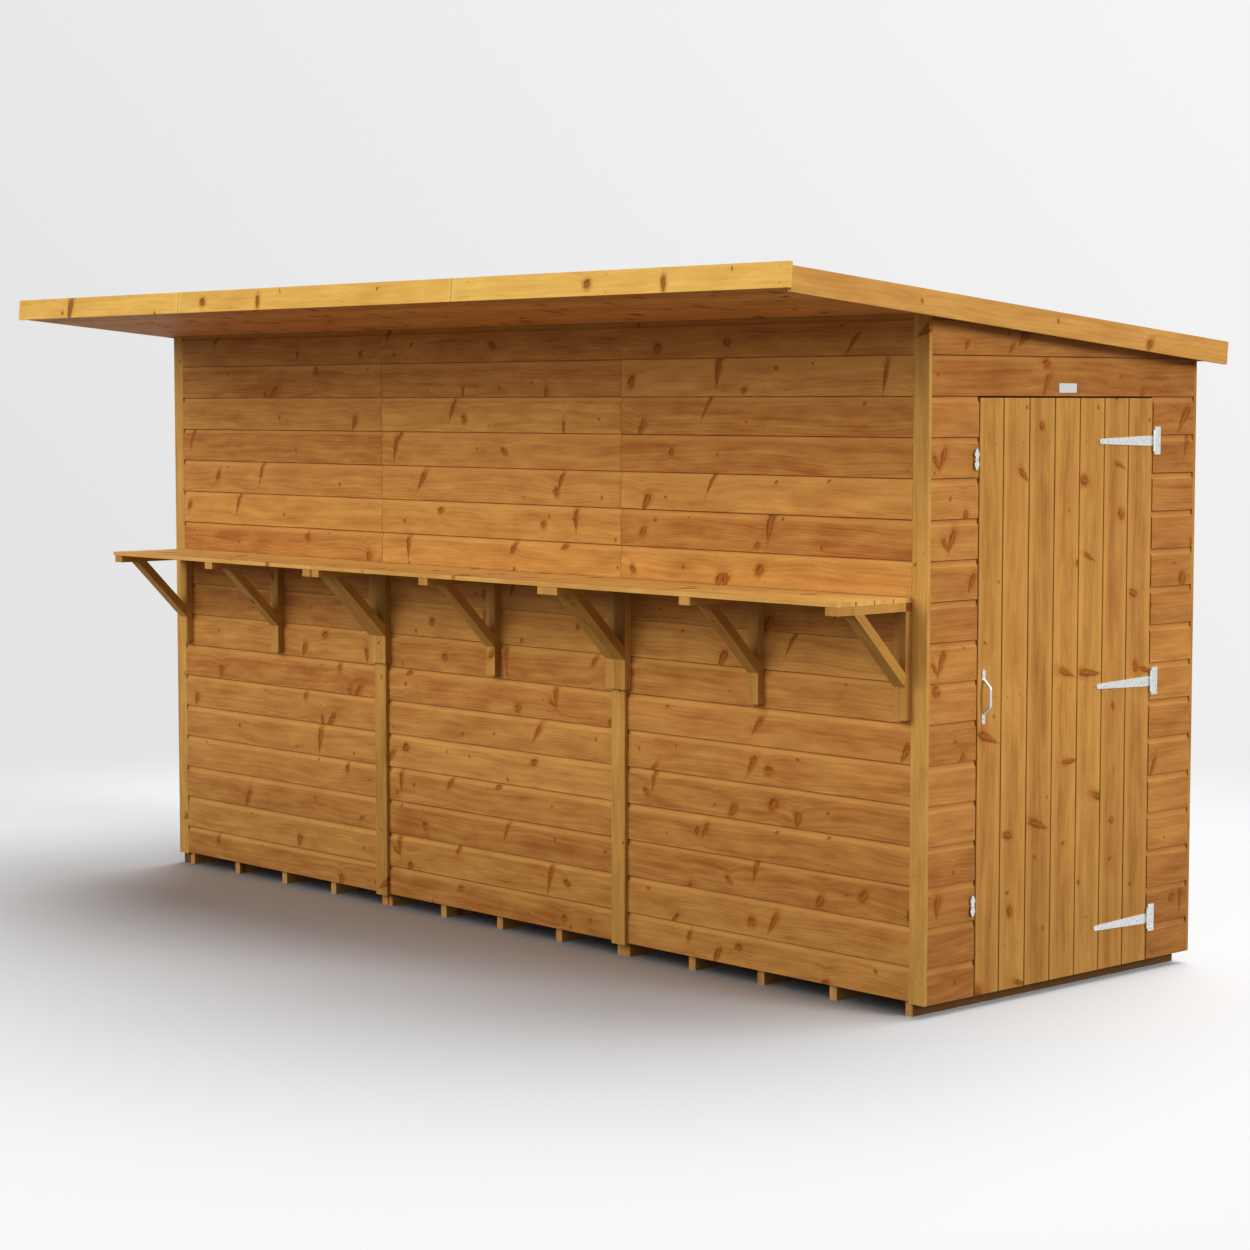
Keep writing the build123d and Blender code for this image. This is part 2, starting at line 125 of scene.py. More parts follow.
def new_group(name, kind, inputs, outputs):
    """Node group with its sockets; returns the tree and its input node."""
    tree = bpy.data.node_groups.new(name, kind)
    for direction, sockets in (("INPUT", inputs), ("OUTPUT", outputs)):
        for label, sort in sockets.items():
            tree.interface.new_socket(name=label, in_out=direction, socket_type="NodeSocket" + sort)
    return tree, add(tree, "NodeGroupInput")


VECTOR = "ShaderNodeVectorMath"
RANGE = "ShaderNodeMapRange"
SMOOTH = {"interpolation_type": "SMOOTHSTEP"}
NOISE = "ShaderNodeTexNoise"
MIX = "ShaderNodeMix"
XYZ = "ShaderNodeCombineXYZ"
SPLIT = "ShaderNodeSeparateXYZ"


def choose(tree, when, first, second):
    """The second value where the test holds, else the first."""
    return add(tree, MIX, named={0: when, 2: first, 3: second})


def tint(tree, share, first, second):
    """Colour between two given as hex values or sockets: the second where the share is one."""
    ends = [linear(end) if isinstance(end, str) else end for end in (first, second)]
    return add(tree, MIX, named={0: share, 6: ends[0], 7: ends[1]}, data_type="RGBA").outputs[2]


# Softwood, worked out in millimetres along, across and through each board

# growth rings 8 mm apart where the real ones are 2 to 4 mm, so that they show in the picture
RING_MM = 8.0
# each board takes its own stretch of the pattern, up to 9 m along
SLIDE_MM = 9000.0
# waves to a millimetre in a knot's ragged outline
OUTLINE_WAVES = 0.09
# added to the distance of a knot that is not there
FAR_OFF = 9.0
# spread of tone between boards, and what centres the sum of the streaks, bands and patches
BOARD_TONES = 0.44
MEAN_OFF = -0.84
# width of the fascias and bargeboards, and where the front fascia's lengths meet in metres
EDGE_BOARD_MM = 68.0
FASCIA_JOINTS = (-0.90, 0.52)
# widths of the trims and brackets, and what upright and roof framing is taken as
TRIM_MM = 56.0
BRACKET_MM = 44.0
FRAMING_MM = 60.0
# heights in metres that across is counted from: front fascia, and at the middle of the depth the
# bargeboards and soffit; the rear fascia lies lower than the front one
FASCIA_MIDDLE = 2.02
BARGE_MIDDLE = 1.915
SOFFIT_MIDDLE = 1.89
REAR_FASCIA_DOWN = 0.14
# kept between a test on a place and the face it tells apart, in metres
SLACK = 0.0002
# farther from a joint than its shade reaches
NO_JOINT = 50.0
# strips so wide that each holds one trim
TRIM_STRIP = 1.2
# width of the strips that give upright framing its boards, and where they start
STUD_STRIP = 0.3
STUD_START = -3.0


def dice(tree, key):
    """Three values between 0 and 1 that belong to a key."""
    return add(tree, SPLIT, add(tree, "ShaderNodeTexWhiteNoise", key).outputs["Color"]).outputs


def knot_group():
    """One knot to a cell of a board: how far a place lies from it, its side, and its push on the grain."""
    inputs = {"Run": "Float", "Across": "Float", "Board": "Vector", "Width": "Float", "Cell": "Float",
              "Half length": "Float", "Half breadth": "Float", "Lean": "Float", "Spread": "Float",
              "Root": "Float", "Share": "Float", "Seed": "Float"}
    outputs = {"Distance": "Float", "Side": "Float", "Push": "Float"}
    tree, given = new_group("knot", "ShaderNodeTree", inputs, outputs)
    run, across, board, width, cell, length, breadth, lean, spread, root, share, seed = given.outputs[:12]
    cells = add(tree, "DIVIDE", run, cell)
    index = add(tree, "FLOOR", cells)
    key = add(tree, VECTOR, add(tree, XYZ, index, seed, 0.5), board, operation="ADD")
    first = dice(tree, key)
    second = dice(tree, add(tree, VECTOR, key, (3.1, 5.7, 9.2), operation="ADD"))
    # place within the cell, kept off its ends; a spike's root lies near the board's edge
    offset = add(tree, "MULTIPLY_ADD", first[0], 0.5, 0.25)
    inside = add(tree, "SUBTRACT", cells, index)
    x = add(tree, "MULTIPLY", add(tree, "SUBTRACT", inside, offset), cell)
    shift = add(tree, "MULTIPLY", add(tree, "SUBTRACT", first[1], 0.5), 0.8)
    centre = add(tree, "SUBTRACT", shift, add(tree, "MULTIPLY", root, 0.42))
    y = add(tree, "SUBTRACT", across, add(tree, "MULTIPLY", centre, width))
    angle = add(tree, "MULTIPLY_ADD", add(tree, "SUBTRACT", second[0], 0.5), spread, lean)
    cosine = add(tree, "COSINE", angle)
    sine = add(tree, "SINE", angle)
    longways = add(tree, "MULTIPLY_ADD", x, cosine, add(tree, "MULTIPLY", y, sine))
    sideways = add(tree, "SUBTRACT", add(tree, "MULTIPLY", y, cosine), add(tree, "MULTIPLY", x, sine))
    # sizes differ from knot to knot
    half_long = add(tree, "MULTIPLY", length, add(tree, "MULTIPLY_ADD", second[1], 0.8, 0.6))
    half_wide = add(tree, "MULTIPLY", breadth, add(tree, "MULTIPLY_ADD", second[2], 0.9, 0.55))
    # a spike starts at its root and widens away from it
    reach = add(tree, "SUBTRACT", add(tree, "DIVIDE", longways, half_long), root)
    wedge = add(tree, "MULTIPLY_ADD", add(tree, "MULTIPLY", reach, root), 0.55, 1.0)
    wide = add(tree, "MULTIPLY", add(tree, "MAXIMUM", wedge, 0.2), half_wide)
    side = add(tree, "DIVIDE", sideways, wide)
    far = add(tree, "ADD", add(tree, "MULTIPLY", reach, reach), add(tree, "MULTIPLY", side, side))
    outline = {"Scale": OUTLINE_WAVES, "Detail": 4.0, "Roughness": 0.6}
    ragged = add(tree, NOISE, add(tree, XYZ, run, across, seed), named=outline)
    wobble = add(tree, "MULTIPLY", add(tree, "SUBTRACT", ragged, 0.5), 1.5)
    distance = add(tree, "ADD", add(tree, "POWER", far, 0.5), wobble)
    absent = add(tree, "GREATER_THAN", first[2], share)
    total = add(tree, "MULTIPLY_ADD", absent, FAR_OFF, distance)
    # the grain parts round the knot
    lever = add(tree, "ADD", add(tree, "ABSOLUTE", y), half_wide)
    facing = add(tree, "DIVIDE", y, lever)
    near = add(tree, "DIVIDE", x, add(tree, "MULTIPLY", half_wide, 2.4))
    fall = add(tree, "MULTIPLY", add(tree, "MULTIPLY", near, near), -1.0)
    bend = add(tree, "MULTIPLY", add(tree, "EXPONENT", fall), add(tree, "MULTIPLY", facing, half_wide))
    push = add(tree, "MULTIPLY", bend, add(tree, "SUBTRACT", 1.0, absent))
    add(tree, "NodeGroupOutput", total, side, push)
    return tree


def drawn_out(tree, along, along_waves, across, across_waves, key, detail, roughness):
    """Noise drawn out along the grain, with so many waves to a millimetre along and across it."""
    far, wide = add(tree, "MULTIPLY", along, along_waves), add(tree, "MULTIPLY", across, across_waves)
    place = add(tree, XYZ, far, wide, key)
    return add(tree, NOISE, place, named={"Scale": 1.0, "Detail": detail, "Roughness": roughness})


def softwood_group(knot):
    """Dip-treated softwood: growth rings round a pith, streaks, stain patches, knots and dark joints."""
    inputs = {"Run": "Float", "Across": "Float", "Depth": "Float", "Board": "Vector", "Width": "Float",
              "Joint": "Float", "Light": "Color", "Dark": "Color", "Spikes": "Float", "Rounds": "Float"}
    outputs = {"Color": "Color", "Height": "Float", "Roughness": "Float"}
    tree, given = new_group("softwood", "ShaderNodeTree", inputs, outputs)
    run, across, depth, board, width, joint, light, dark, spikes, rounds = given.outputs[:10]
    chance = dice(tree, board)
    tone = dice(tree, add(tree, VECTOR, board, (7.3, 1.9, 4.1), operation="ADD"))
    slid = add(tree, "MULTIPLY_ADD", chance[0], SLIDE_MM, run)

    # two arms of a spike, round knots and pin knots, in millimetres and radians:
    # cell, half length, half breadth, lean, spread, root, share, seed
    kinds = (
        (350.0, 33.0, 8.5, 1.25, 0.9, 1.0, spikes, 1.0),
        (350.0, 21.0, 6.0, 2.20, 0.9, 1.0, add(tree, "MULTIPLY", spikes, 0.2), 1.0),
        (310.0, 15.0, 11.0, 0.9, 1.6, 0.0, rounds, 2.0),
        (170.0, 5.0, 4.0, 0.8, 3.0, 0.0, 0.30, 3.0),
    )
    nearest, side, pushes = None, None, None
    for cell, length, breadth, lean, spread, root, share, seed in kinds:
        values = (slid, across, board, width, cell, length, breadth, lean, spread, root, share, seed)
        made = add(tree, "ShaderNodeGroup", *values, node_tree=knot)
        if nearest is None:
            nearest, side, pushes = made.outputs[:3]
        else:
            nearer = add(tree, "LESS_THAN", made.outputs[0], nearest)
            side = choose(tree, nearer, side, made.outputs[1])
            nearest = add(tree, "MINIMUM", nearest, made.outputs[0]).outputs[0]
            pushes = add(tree, "ADD", pushes, made.outputs[2]).outputs[0]

    # growth rings round a pith below the board; they drift along it and part at the knots
    drift = drawn_out(tree, slid, 0.0022, across, 0.003, chance[1], 1.0, 0.5)
    drifted = add(tree, "MULTIPLY_ADD", add(tree, "SUBTRACT", drift, 0.5), 60.0, pushes)
    pith = add(tree, "MULTIPLY_ADD", add(tree, "SUBTRACT", chance[1], 0.5), 110.0, drifted)
    sideways = add(tree, "ADD", across, pith)
    below = add(tree, "ADD", add(tree, "MULTIPLY_ADD", chance[2], 60.0, 18.0), depth)
    square = add(tree, "ADD", add(tree, "MULTIPLY", sideways, sideways), add(tree, "MULTIPLY", below, below))
    radius = add(tree, "DIVIDE", add(tree, "POWER", square, 0.5), RING_MM)
    ring = add(tree, "FRACT", radius)
    rise = add(tree, RANGE, ring, 0.15, 0.8, 0.0, 1.0, **SMOOTH)
    drop = add(tree, RANGE, ring, 0.85, 1.0, 1.0, 0.0, **SMOOTH)
    late = add(tree, "MULTIPLY", rise, drop)

    # fine streaks along the grain 3 mm wide, bands 18 mm wide, and stain patches 170 by 50 mm
    streak = drawn_out(tree, slid, 0.012, sideways, 0.34, add(tree, "MULTIPLY", depth, 0.30), 4.0, 0.65)
    band = drawn_out(tree, slid, 0.0035, sideways, 0.055, tone[2], 2.0, 0.5)
    patch = drawn_out(tree, slid, 0.006, across, 0.02, tone[1], 3.0, 0.55)
    mixed = MEAN_OFF
    for layer, strength in ((late, 0.13), (streak, 0.55), (band, 0.80), (patch, 1.20)):
        mixed = add(tree, "MULTIPLY_ADD", layer, strength, mixed)
    own = add(tree, "MULTIPLY_ADD", tone[0], BOARD_TONES, -BOARD_TONES / 2)
    darkness = add(tree, "ADD", own, mixed, use_clamp=True)

    # painted highlight: boards are paler in a band beside a joint, where they are hollowed or bevelled
    painted_highlight_in = add(tree, RANGE, joint, 2.5, 5.0, 0.0, 0.5, **SMOOTH)
    painted_highlight_end = add(tree, "MULTIPLY_ADD", tone[1], 24.0, add(tree, "MULTIPLY_ADD", patch, 12.0, 10.0))
    painted_highlight_out = add(tree, RANGE, joint, 8.0, painted_highlight_end, 1.0, 0.0, **SMOOTH)
    painted_highlight = add(tree, "MULTIPLY", painted_highlight_in, painted_highlight_out)

    # knots: reddish halo, a warm heart that is darker on one side, and a dark broken rim
    halo = add(tree, RANGE, nearest, 0.9, 2.3, 0.55, 0.0, **SMOOTH)
    heart = add(tree, RANGE, nearest, 0.7, 1.15, 0.9, 0.0, **SMOOTH)
    shade = add(tree, RANGE, add(tree, "ADD", side, add(tree, "MULTIPLY", streak, 2.4)), 0.5, 2.0, 0.0, 1.0)
    heart_tone = tint(tree, shade, "#9C5A1A", "#7C3E06")
    # a pale crack runs up the middle of a spike
    middle = add(tree, "ABSOLUTE", add(tree, "ADD", side, add(tree, "ADD", band, -0.5)))
    crack = add(tree, "MULTIPLY", add(tree, RANGE, middle, 0.04, 0.16, 0.35, 0.0), heart)
    rim_in = add(tree, RANGE, nearest, 0.65, 0.95, 0.0, 1.0, **SMOOTH)
    rim_out = add(tree, RANGE, nearest, 0.95, 1.25, 1.0, 0.0, **SMOOTH)
    broken = add(tree, RANGE, patch, 0.38, 0.60, 0.1, 0.7)
    rim = add(tree, "MULTIPLY", add(tree, "MULTIPLY", rim_in, rim_out), broken)

    # treatment and shade gather in the joints
    groove = add(tree, RANGE, joint, 0.6, 3.0, 0.78, 0.0, **SMOOTH)

    # from the pale ground up: the stain, then each layer with how much of it shows
    wood = light
    layers = ((darkness, dark), (painted_highlight, light), (halo, "#A45C14"), (heart, heart_tone), (crack, "#CF9650"),
              (rim, "#6A3202"), (groove, "#40200A"))
    for share, colour in layers:
        wood = tint(tree, share, wood, colour)

    height = add(tree, "MULTIPLY_ADD", late, 0.30, add(tree, "MULTIPLY", streak, 0.5))
    rough = add(tree, RANGE, streak, 0.3, 0.7, 0.52, 0.68)
    add(tree, "NodeGroupOutput", wood, height, rough)
    return tree


def strips(tree, value, pitch, start):
    """Strip that a place lies in, and its distance from the strip's middle in millimetres."""
    cells = add(tree, "DIVIDE", add(tree, "SUBTRACT", value, start), pitch)
    index = add(tree, "FLOOR", cells)
    inside = add(tree, "SUBTRACT", cells, index)
    return index, add(tree, "MULTIPLY_ADD", inside, pitch * 1000, -pitch * 500)


def joint_distance(tree, value, across, pitch, low, high):
    """Millimetres to the nearest joint between two boards; the outer edges, at low and high, are none."""
    near = add(tree, "SUBTRACT", pitch * 500, add(tree, "ABSOLUTE", across))
    from_middle = add(tree, "ABSOLUTE", add(tree, "SUBTRACT", value, (low + high) / 2))
    outer = add(tree, "GREATER_THAN", from_middle, (high - low) / 2 - pitch / 2)
    outward = add(tree, "GREATER_THAN", from_middle, (high - low) / 2 - 0.004)
    return add(tree, "MULTIPLY_ADD", add(tree, "MULTIPLY", outer, outward), NO_JOINT, near)


def millimetres(tree, value, origin=0.0):
    """A length in metres as millimetres from an origin."""
    return add(tree, "MULTIPLY_ADD", value, 1000.0, -origin * 1000)


# Each layout gives run, across and depth on a board in millimetres, the board's own key, which
# ends with a number of the layout's, then the board's width and the distance to the nearest joint.


def clad_wall(tree, along, out, height, core, section):
    """Shiplap along a wall, and upright framing behind it."""
    index, across = strips(tree, height, COURSE, COURSE_START)
    upper_edge = add(tree, "SUBTRACT", COURSE * 500, across)
    behind = add(tree, "LESS_THAN", out, core - SLACK)
    stud, stud_across = strips(tree, along, STUD_STRIP, STUD_START)
    run = choose(tree, behind, millimetres(tree, along), millimetres(tree, height))
    board = add(tree, XYZ, choose(tree, behind, index, stud), section, behind)
    joint = choose(tree, behind, upper_edge, NO_JOINT)
    across_all = choose(tree, behind, across, stud_across)
    return run, across_all, millimetres(tree, out, core + CLADDING / 2), board, COURSE * 1000, joint


def front_cladding(tree, x, y, z):
    """Front and back walls, one length of boards to a bay."""
    bay = strips(tree, x, BAY, BAY_START)[0]
    side = add(tree, "GREATER_THAN", y, 0.0)
    section = add(tree, "MULTIPLY_ADD", side, 10.0, bay)
    return clad_wall(tree, x, add(tree, "ABSOLUTE", y), z, FRAME_OUT, section)


def end_cladding(tree, x, y, z):
    """End walls; the boards behind the doorway differ from those before and above it."""
    right = add(tree, "GREATER_THAN", x, 0.0)
    back = add(tree, "GREATER_THAN", y, 0.0)
    beside = add(tree, "LESS_THAN", z, DOORWAY_TOP)
    part = add(tree, "MULTIPLY", add(tree, "MULTIPLY", right, back), beside)
    section = add(tree, "MULTIPLY_ADD", part, 2.0, 20.0)
    return clad_wall(tree, y, add(tree, "ABSOLUTE", x), z, END_FRAME_OUT, section)


def upright_trim(tree, x, y, z):
    """Corner trims and cover strips, each one upright board."""
    index, across = strips(tree, x, TRIM_STRIP, -2 * TRIM_STRIP)
    side = add(tree, "GREATER_THAN", y, 0.0)
    depth = millimetres(tree, add(tree, "ABSOLUTE", y), HALF_DEPTH)
    return millimetres(tree, z), across, depth, add(tree, XYZ, index, side, 41.0), TRIM_MM, NO_JOINT


def counter_boards(tree, x, y, z):
    """Four boards along each bay's counter."""
    index, across = strips(tree, y, SHELF_BOARD, SHELF_FRONT)
    bay = strips(tree, x, BAY, BAY_START)[0]
    board = add(tree, XYZ, index, bay, 51.0)
    joint = joint_distance(tree, y, across, SHELF_BOARD, SHELF_FRONT, -HALF_DEPTH)
    return millimetres(tree, x), across, millimetres(tree, z, COUNTER), board, SHELF_BOARD * 1000, joint


def bracket_timber(tree, x, y, z):
    """Arm along Y, leg along Z and brace between them; the paired brackets are two pieces."""
    index, across = strips(tree, x, BAY / 2, -1.75 * BAY)
    arm = add(tree, "GREATER_THAN", z, COUNTER - BRACKET_THICK)
    leg = add(tree, "GREATER_THAN", y, -HALF_DEPTH - BRACKET_THICK)
    rising = add(tree, "MULTIPLY", add(tree, "SUBTRACT", z, y), DIAGONAL)
    falling = add(tree, "MULTIPLY", add(tree, "ADD", z, y), DIAGONAL)
    run = choose(tree, leg, millimetres(tree, rising), millimetres(tree, z))
    run = choose(tree, arm, run, millimetres(tree, y))
    brace_depth = millimetres(tree, falling, BRACE_MIDDLE)
    depth = choose(tree, leg, brace_depth, millimetres(tree, y, -HALF_DEPTH - BRACKET_THICK / 2))
    depth = choose(tree, arm, depth, millimetres(tree, z, COUNTER - BRACKET_THICK / 2))
    # the brackets one step from the middle one are pairs, and the second piece starts 2.5 mm off centre
    from_middle = add(tree, "ABSOLUTE", add(tree, "SUBTRACT", index, MIDDLE_BRACKET))
    paired = add(tree, "COMPARE", from_middle, 1.0, 0.1)
    second = add(tree, "MULTIPLY", add(tree, "GREATER_THAN", across, -2.5), paired)
    part = add(tree, "MULTIPLY_ADD", arm, 2.0, add(tree, "ADD", leg, second))
    key = add(tree, "MULTIPLY_ADD", second, 7.0, part)
    return run, across, depth, add(tree, XYZ, index, key, 61.0), BRACKET_MM, NO_JOINT


def fascia_board(tree, x, y, z):
    """Fascias along X; the front one is pieced from three lengths."""
    piece = add(tree, "ADD", *[add(tree, "GREATER_THAN", x, joint) for joint in FASCIA_JOINTS])
    side = add(tree, "GREATER_THAN", y, 0.0)
    away = [add(tree, "ABSOLUTE", add(tree, "SUBTRACT", x, joint)) for joint in FASCIA_JOINTS]
    # a millimetre is added, so that the seam is a fine line
    seam = millimetres(tree, add(tree, "MINIMUM", *away), -0.001)
    slid = add(tree, "MULTIPLY_ADD", side, REAR_FASCIA_DOWN, z)
    board = add(tree, XYZ, piece, side, 71.0)
    return millimetres(tree, x), millimetres(tree, slid, FASCIA_MIDDLE), 0.0, board, EDGE_BOARD_MM, seam


def bargeboard(tree, x, y, z):
    """Bargeboards down the slope of the roof, one at each end."""
    across = add(tree, "MULTIPLY_ADD", y, tan(ROOF_PITCH), z)
    side = add(tree, "GREATER_THAN", x, 0.0)
    board = add(tree, XYZ, side, 3.0, 81.0)
    return millimetres(tree, y), millimetres(tree, across, BARGE_MIDDLE), 0.0, board, EDGE_BOARD_MM, NO_JOINT


def soffit_boards(tree, x, y, z):
    """Boards along X under the front of the roof, counted from the wall."""
    pitch = SOFFIT_BOARD * cos(ROOF_PITCH)
    index, across = strips(tree, add(tree, "MULTIPLY", y, -1.0), pitch, HALF_DEPTH)
    depth = add(tree, "MULTIPLY_ADD", y, tan(ROOF_PITCH), z)
    board = add(tree, XYZ, index, 5.0, 91.0)
    joint = joint_distance(tree, y, across, pitch, -HALF_DEPTH - SOFFIT_BOARDS * pitch, -HALF_DEPTH)
    return millimetres(tree, x), across, millimetres(tree, depth, SOFFIT_MIDDLE), board, pitch * 1000, joint


def door_boards(tree, x, y, z):
    """Upright boards outside, ledges and braces across them inside."""
    index, across = strips(tree, add(tree, "MULTIPLY", y, -1.0), DOOR_BOARD, -DOOR_HALF)
    ledge, ledge_across = strips(tree, z, LEDGE_STEP, LEDGES[0] - LEDGE_STEP / 2)
    brace, from_middle = strips(tree, z, LEDGE_STEP, LEDGES[0])
    level, rise = millimetres(tree, y), millimetres(tree, z)
    brace_run = add(tree, "MULTIPLY_ADD", rise, BRACE_RISE, add(tree, "MULTIPLY", level, -BRACE_LEVEL))
    leant = add(tree, "MULTIPLY", level, BRACE_RISE)
    brace_across = add(tree, "MULTIPLY_ADD", from_middle, BRACE_LEVEL, leant)
    braced = add(tree, "GREATER_THAN", add(tree, "ABSOLUTE", ledge_across), LEDGE_HEIGHT * 500)
    piece = choose(tree, braced, ledge, add(tree, "ADD", brace, 5.0))
    inside = add(tree, "LESS_THAN", x, END_FRAME_OUT - SLACK)
    run = choose(tree, inside, rise, choose(tree, braced, level, brace_run))
    across_all = choose(tree, inside, across, choose(tree, braced, ledge_across, brace_across))
    board = add(tree, XYZ, choose(tree, inside, index, piece), inside, 101.0)
    joint = choose(tree, inside, joint_distance(tree, y, across, DOOR_BOARD, -DOOR_HALF, DOOR_HALF), NO_JOINT)
    return run, across_all, millimetres(tree, x, END_FRAME_OUT), board, DOOR_BOARD * 1000, joint


def floor_timber(tree, x, y, z):
    """Boards along X on joists along Y."""
    index, across = strips(tree, y, COURSE, -FRAME_OUT)
    bay = strips(tree, x, BAY, BAY_START)[0]
    within = add(tree, "SUBTRACT", x, add(tree, "MULTIPLY_ADD", bay, BAY, BAY_START))
    joist, joist_across = strips(tree, within, JOIST_STEP, 0.0)
    from_middle = add(tree, "ADD", joist_across, JOIST_STEP * 500 - JOIST_WIDTH * 500)
    number = add(tree, "MULTIPLY_ADD", bay, JOISTS, joist)
    low = add(tree, "LESS_THAN", z, JOIST_HEIGHT)
    run = choose(tree, low, millimetres(tree, x), millimetres(tree, y))
    board = add(tree, XYZ, choose(tree, low, index, number), low, 111.0)
    joint = choose(tree, low, joint_distance(tree, y, across, COURSE, -FRAME_OUT, FRAME_OUT), NO_JOINT)
    # painted shade: the outer faces of the end bearers, set back under the cladding, are darkened as a joint
    # is
    painted_shade_bearer_face = add(tree, "GREATER_THAN", add(tree, "ABSOLUTE", x), -BAY_START - 0.002)
    joint = choose(tree, painted_shade_bearer_face, joint, 0.0)
    across_all = choose(tree, low, across, from_middle)
    return run, across_all, millimetres(tree, z, JOIST_HEIGHT / 2), board, FRAMING_MM, joint


def framing_timber(tree, x, y, z):
    """Posts stand upright; everything above the wall tops runs along the roof."""
    index, across = strips(tree, x, STUD_STRIP, STUD_START)
    high = add(tree, "GREATER_THAN", z, HEADER)
    run = choose(tree, high, millimetres(tree, z), millimetres(tree, x))
    across_all = choose(tree, high, across, millimetres(tree, y))
    return run, across_all, 0.0, add(tree, XYZ, index, high, 121.0), FRAMING_MM, NO_JOINT


def new_material(name):
    """Empty surface material; returns it with its tree and the place on the object in metres."""
    material = bpy.data.materials.new(name)
    material.use_nodes = True
    tree = material.node_tree
    return material, tree, add(tree, "ShaderNodeTexCoord").outputs["Object"]


def join_shader(material, colour, roughness, bump=None, plain=None):
    """Join a material's colour, roughness, bump and plain values to its shader."""
    tree = material.node_tree
    shader = tree.nodes["Principled BSDF"]
    if bump:
        bump = add(tree, "ShaderNodeBump", named=bump)
    for key, value in (("Base Color", colour), ("Roughness", roughness), ("Normal", bump)):
        if value is not None:
            source = value.outputs[0] if isinstance(value, bpy.types.Node) else value
            tree.links.new(source, shader.inputs[key])
    for key, value in (plain or {}).items():
        shader.inputs[key].default_value = value
    return material


def softwood_material(softwood, name, layout, light, dark, spikes, rounds):
    """Planed boards dipped in a golden-brown treatment: satin, with the grain just felt."""
    material, tree, place = new_material(name)
    split = add(tree, SPLIT, place)
    values = layout(tree, *split.outputs[:3]) + (linear(light), linear(dark), spikes, rounds)
    wood = add(tree, "ShaderNodeGroup", *values, node_tree=softwood)
    # painted shade: the wood is darker over the lowest metre, towards the ground
    painted_low_shade = add(tree, RANGE, split.outputs[2], 0.0, 1.0, 0.78, 1.0, **SMOOTH)
    low_shaded_colour = add(tree, VECTOR, named={0: wood.outputs["Color"], 3: painted_low_shade}, operation="SCALE")
    bump = {"Strength": 0.5, "Distance": 0.0006, "Height": wood.outputs["Height"]}
    plain = {"IOR": 1.5, "Specular IOR Level": 0.1}
    return join_shader(material, low_shaded_colour, wood.outputs["Roughness"], bump, plain)


def galvanised_material():
    """Pressed steel, bright zinc plated: a pale soft mirror with a faint crystalline mottle."""
    material, tree, place = new_material("bright_galvanised_steel")
    # crystals 6 mm across
    crystal = add(tree, "ShaderNodeTexVoronoi", place, named={"Scale": 1 / 0.006})
    mottle = add(tree, RANGE, add(tree, SPLIT, crystal.outputs["Color"]), 0.0, 1.0, 0.0, 1.0)
    colour = tint(tree, mottle, "#D8DAD8", "#BEC2C1")
    rough = add(tree, RANGE, mottle, 0.0, 1.0, 0.30, 0.42)
    # rolled and dipped skin, ripples 3 mm apart
    ripple = add(tree, NOISE, place, named={"Scale": 1 / 0.003, "Detail": 2.0})
    bump = {"Strength": 0.15, "Distance": 0.0003, "Height": ripple}
    return join_shader(material, colour, rough, bump, {"Metallic": 0.9})


def nail_material():
    """Wire nails driven flush: dull grey steel with the treatment's brown bled round them."""
    material, tree, place = new_material("wire_nail_steel")
    # rust specks 2 mm across
    rust = add(tree, NOISE, place, named={"Scale": 1 / 0.002, "Detail": 2.0})
    colour = tint(tree, rust, "#6A4A30", "#3E2617")
    rough = add(tree, RANGE, rust, 0.3, 0.7, 0.45, 0.7)
    return join_shader(material, colour, rough, plain={"Metallic": 0.3})


def felt_material():
    """Bitumen felt faced with crushed mineral: dull dark green-grey with a coarse sparkle."""
    material, tree, place = new_material("mineral_felt")
    # grit of 1 to 2 mm, drawn 3 mm across so that it shows; rain streaks 250 mm wide down the slope
    grit = add(tree, "ShaderNodeTexVoronoi", place, named={"Scale": 1 / 0.003})
    grain = add(tree, SPLIT, grit.outputs["Color"])
    slope = add(tree, "ShaderNodeMapping", place, named={"Scale": (4.0, 1.0, 1.0)})
    weather = add(tree, NOISE, slope, named={"Scale": 1.0, "Detail": 3.0})
    stone = tint(tree, grain, "#33372F", "#5C6153")
    streaks = add(tree, RANGE, weather, 0.35, 0.7, 0.0, 0.3)
    colour = tint(tree, streaks, stone, "#24271F")
    rough = add(tree, RANGE, grain, 0.0, 1.0, 0.82, 0.98)
    return join_shader(material, colour, rough, {"Strength": 0.6, "Distance": 0.001, "Height": grain})


def enamel_material():
    """Small plate in white stoved enamel: smooth, faintly orange-peeled and glossy."""
    material, tree, place = new_material("white_enamel")
    # orange peel 2 mm across
    peel = add(tree, NOISE, place, named={"Scale": 1 / 0.002, "Detail": 1.0})
    colour = tint(tree, peel, "#C9CCCC", "#D8DAD9")
    rough = add(tree, RANGE, peel, 0.3, 0.7, 0.2, 0.28)
    return join_shader(material, colour, rough, {"Strength": 0.1, "Distance": 0.0002, "Height": peel})


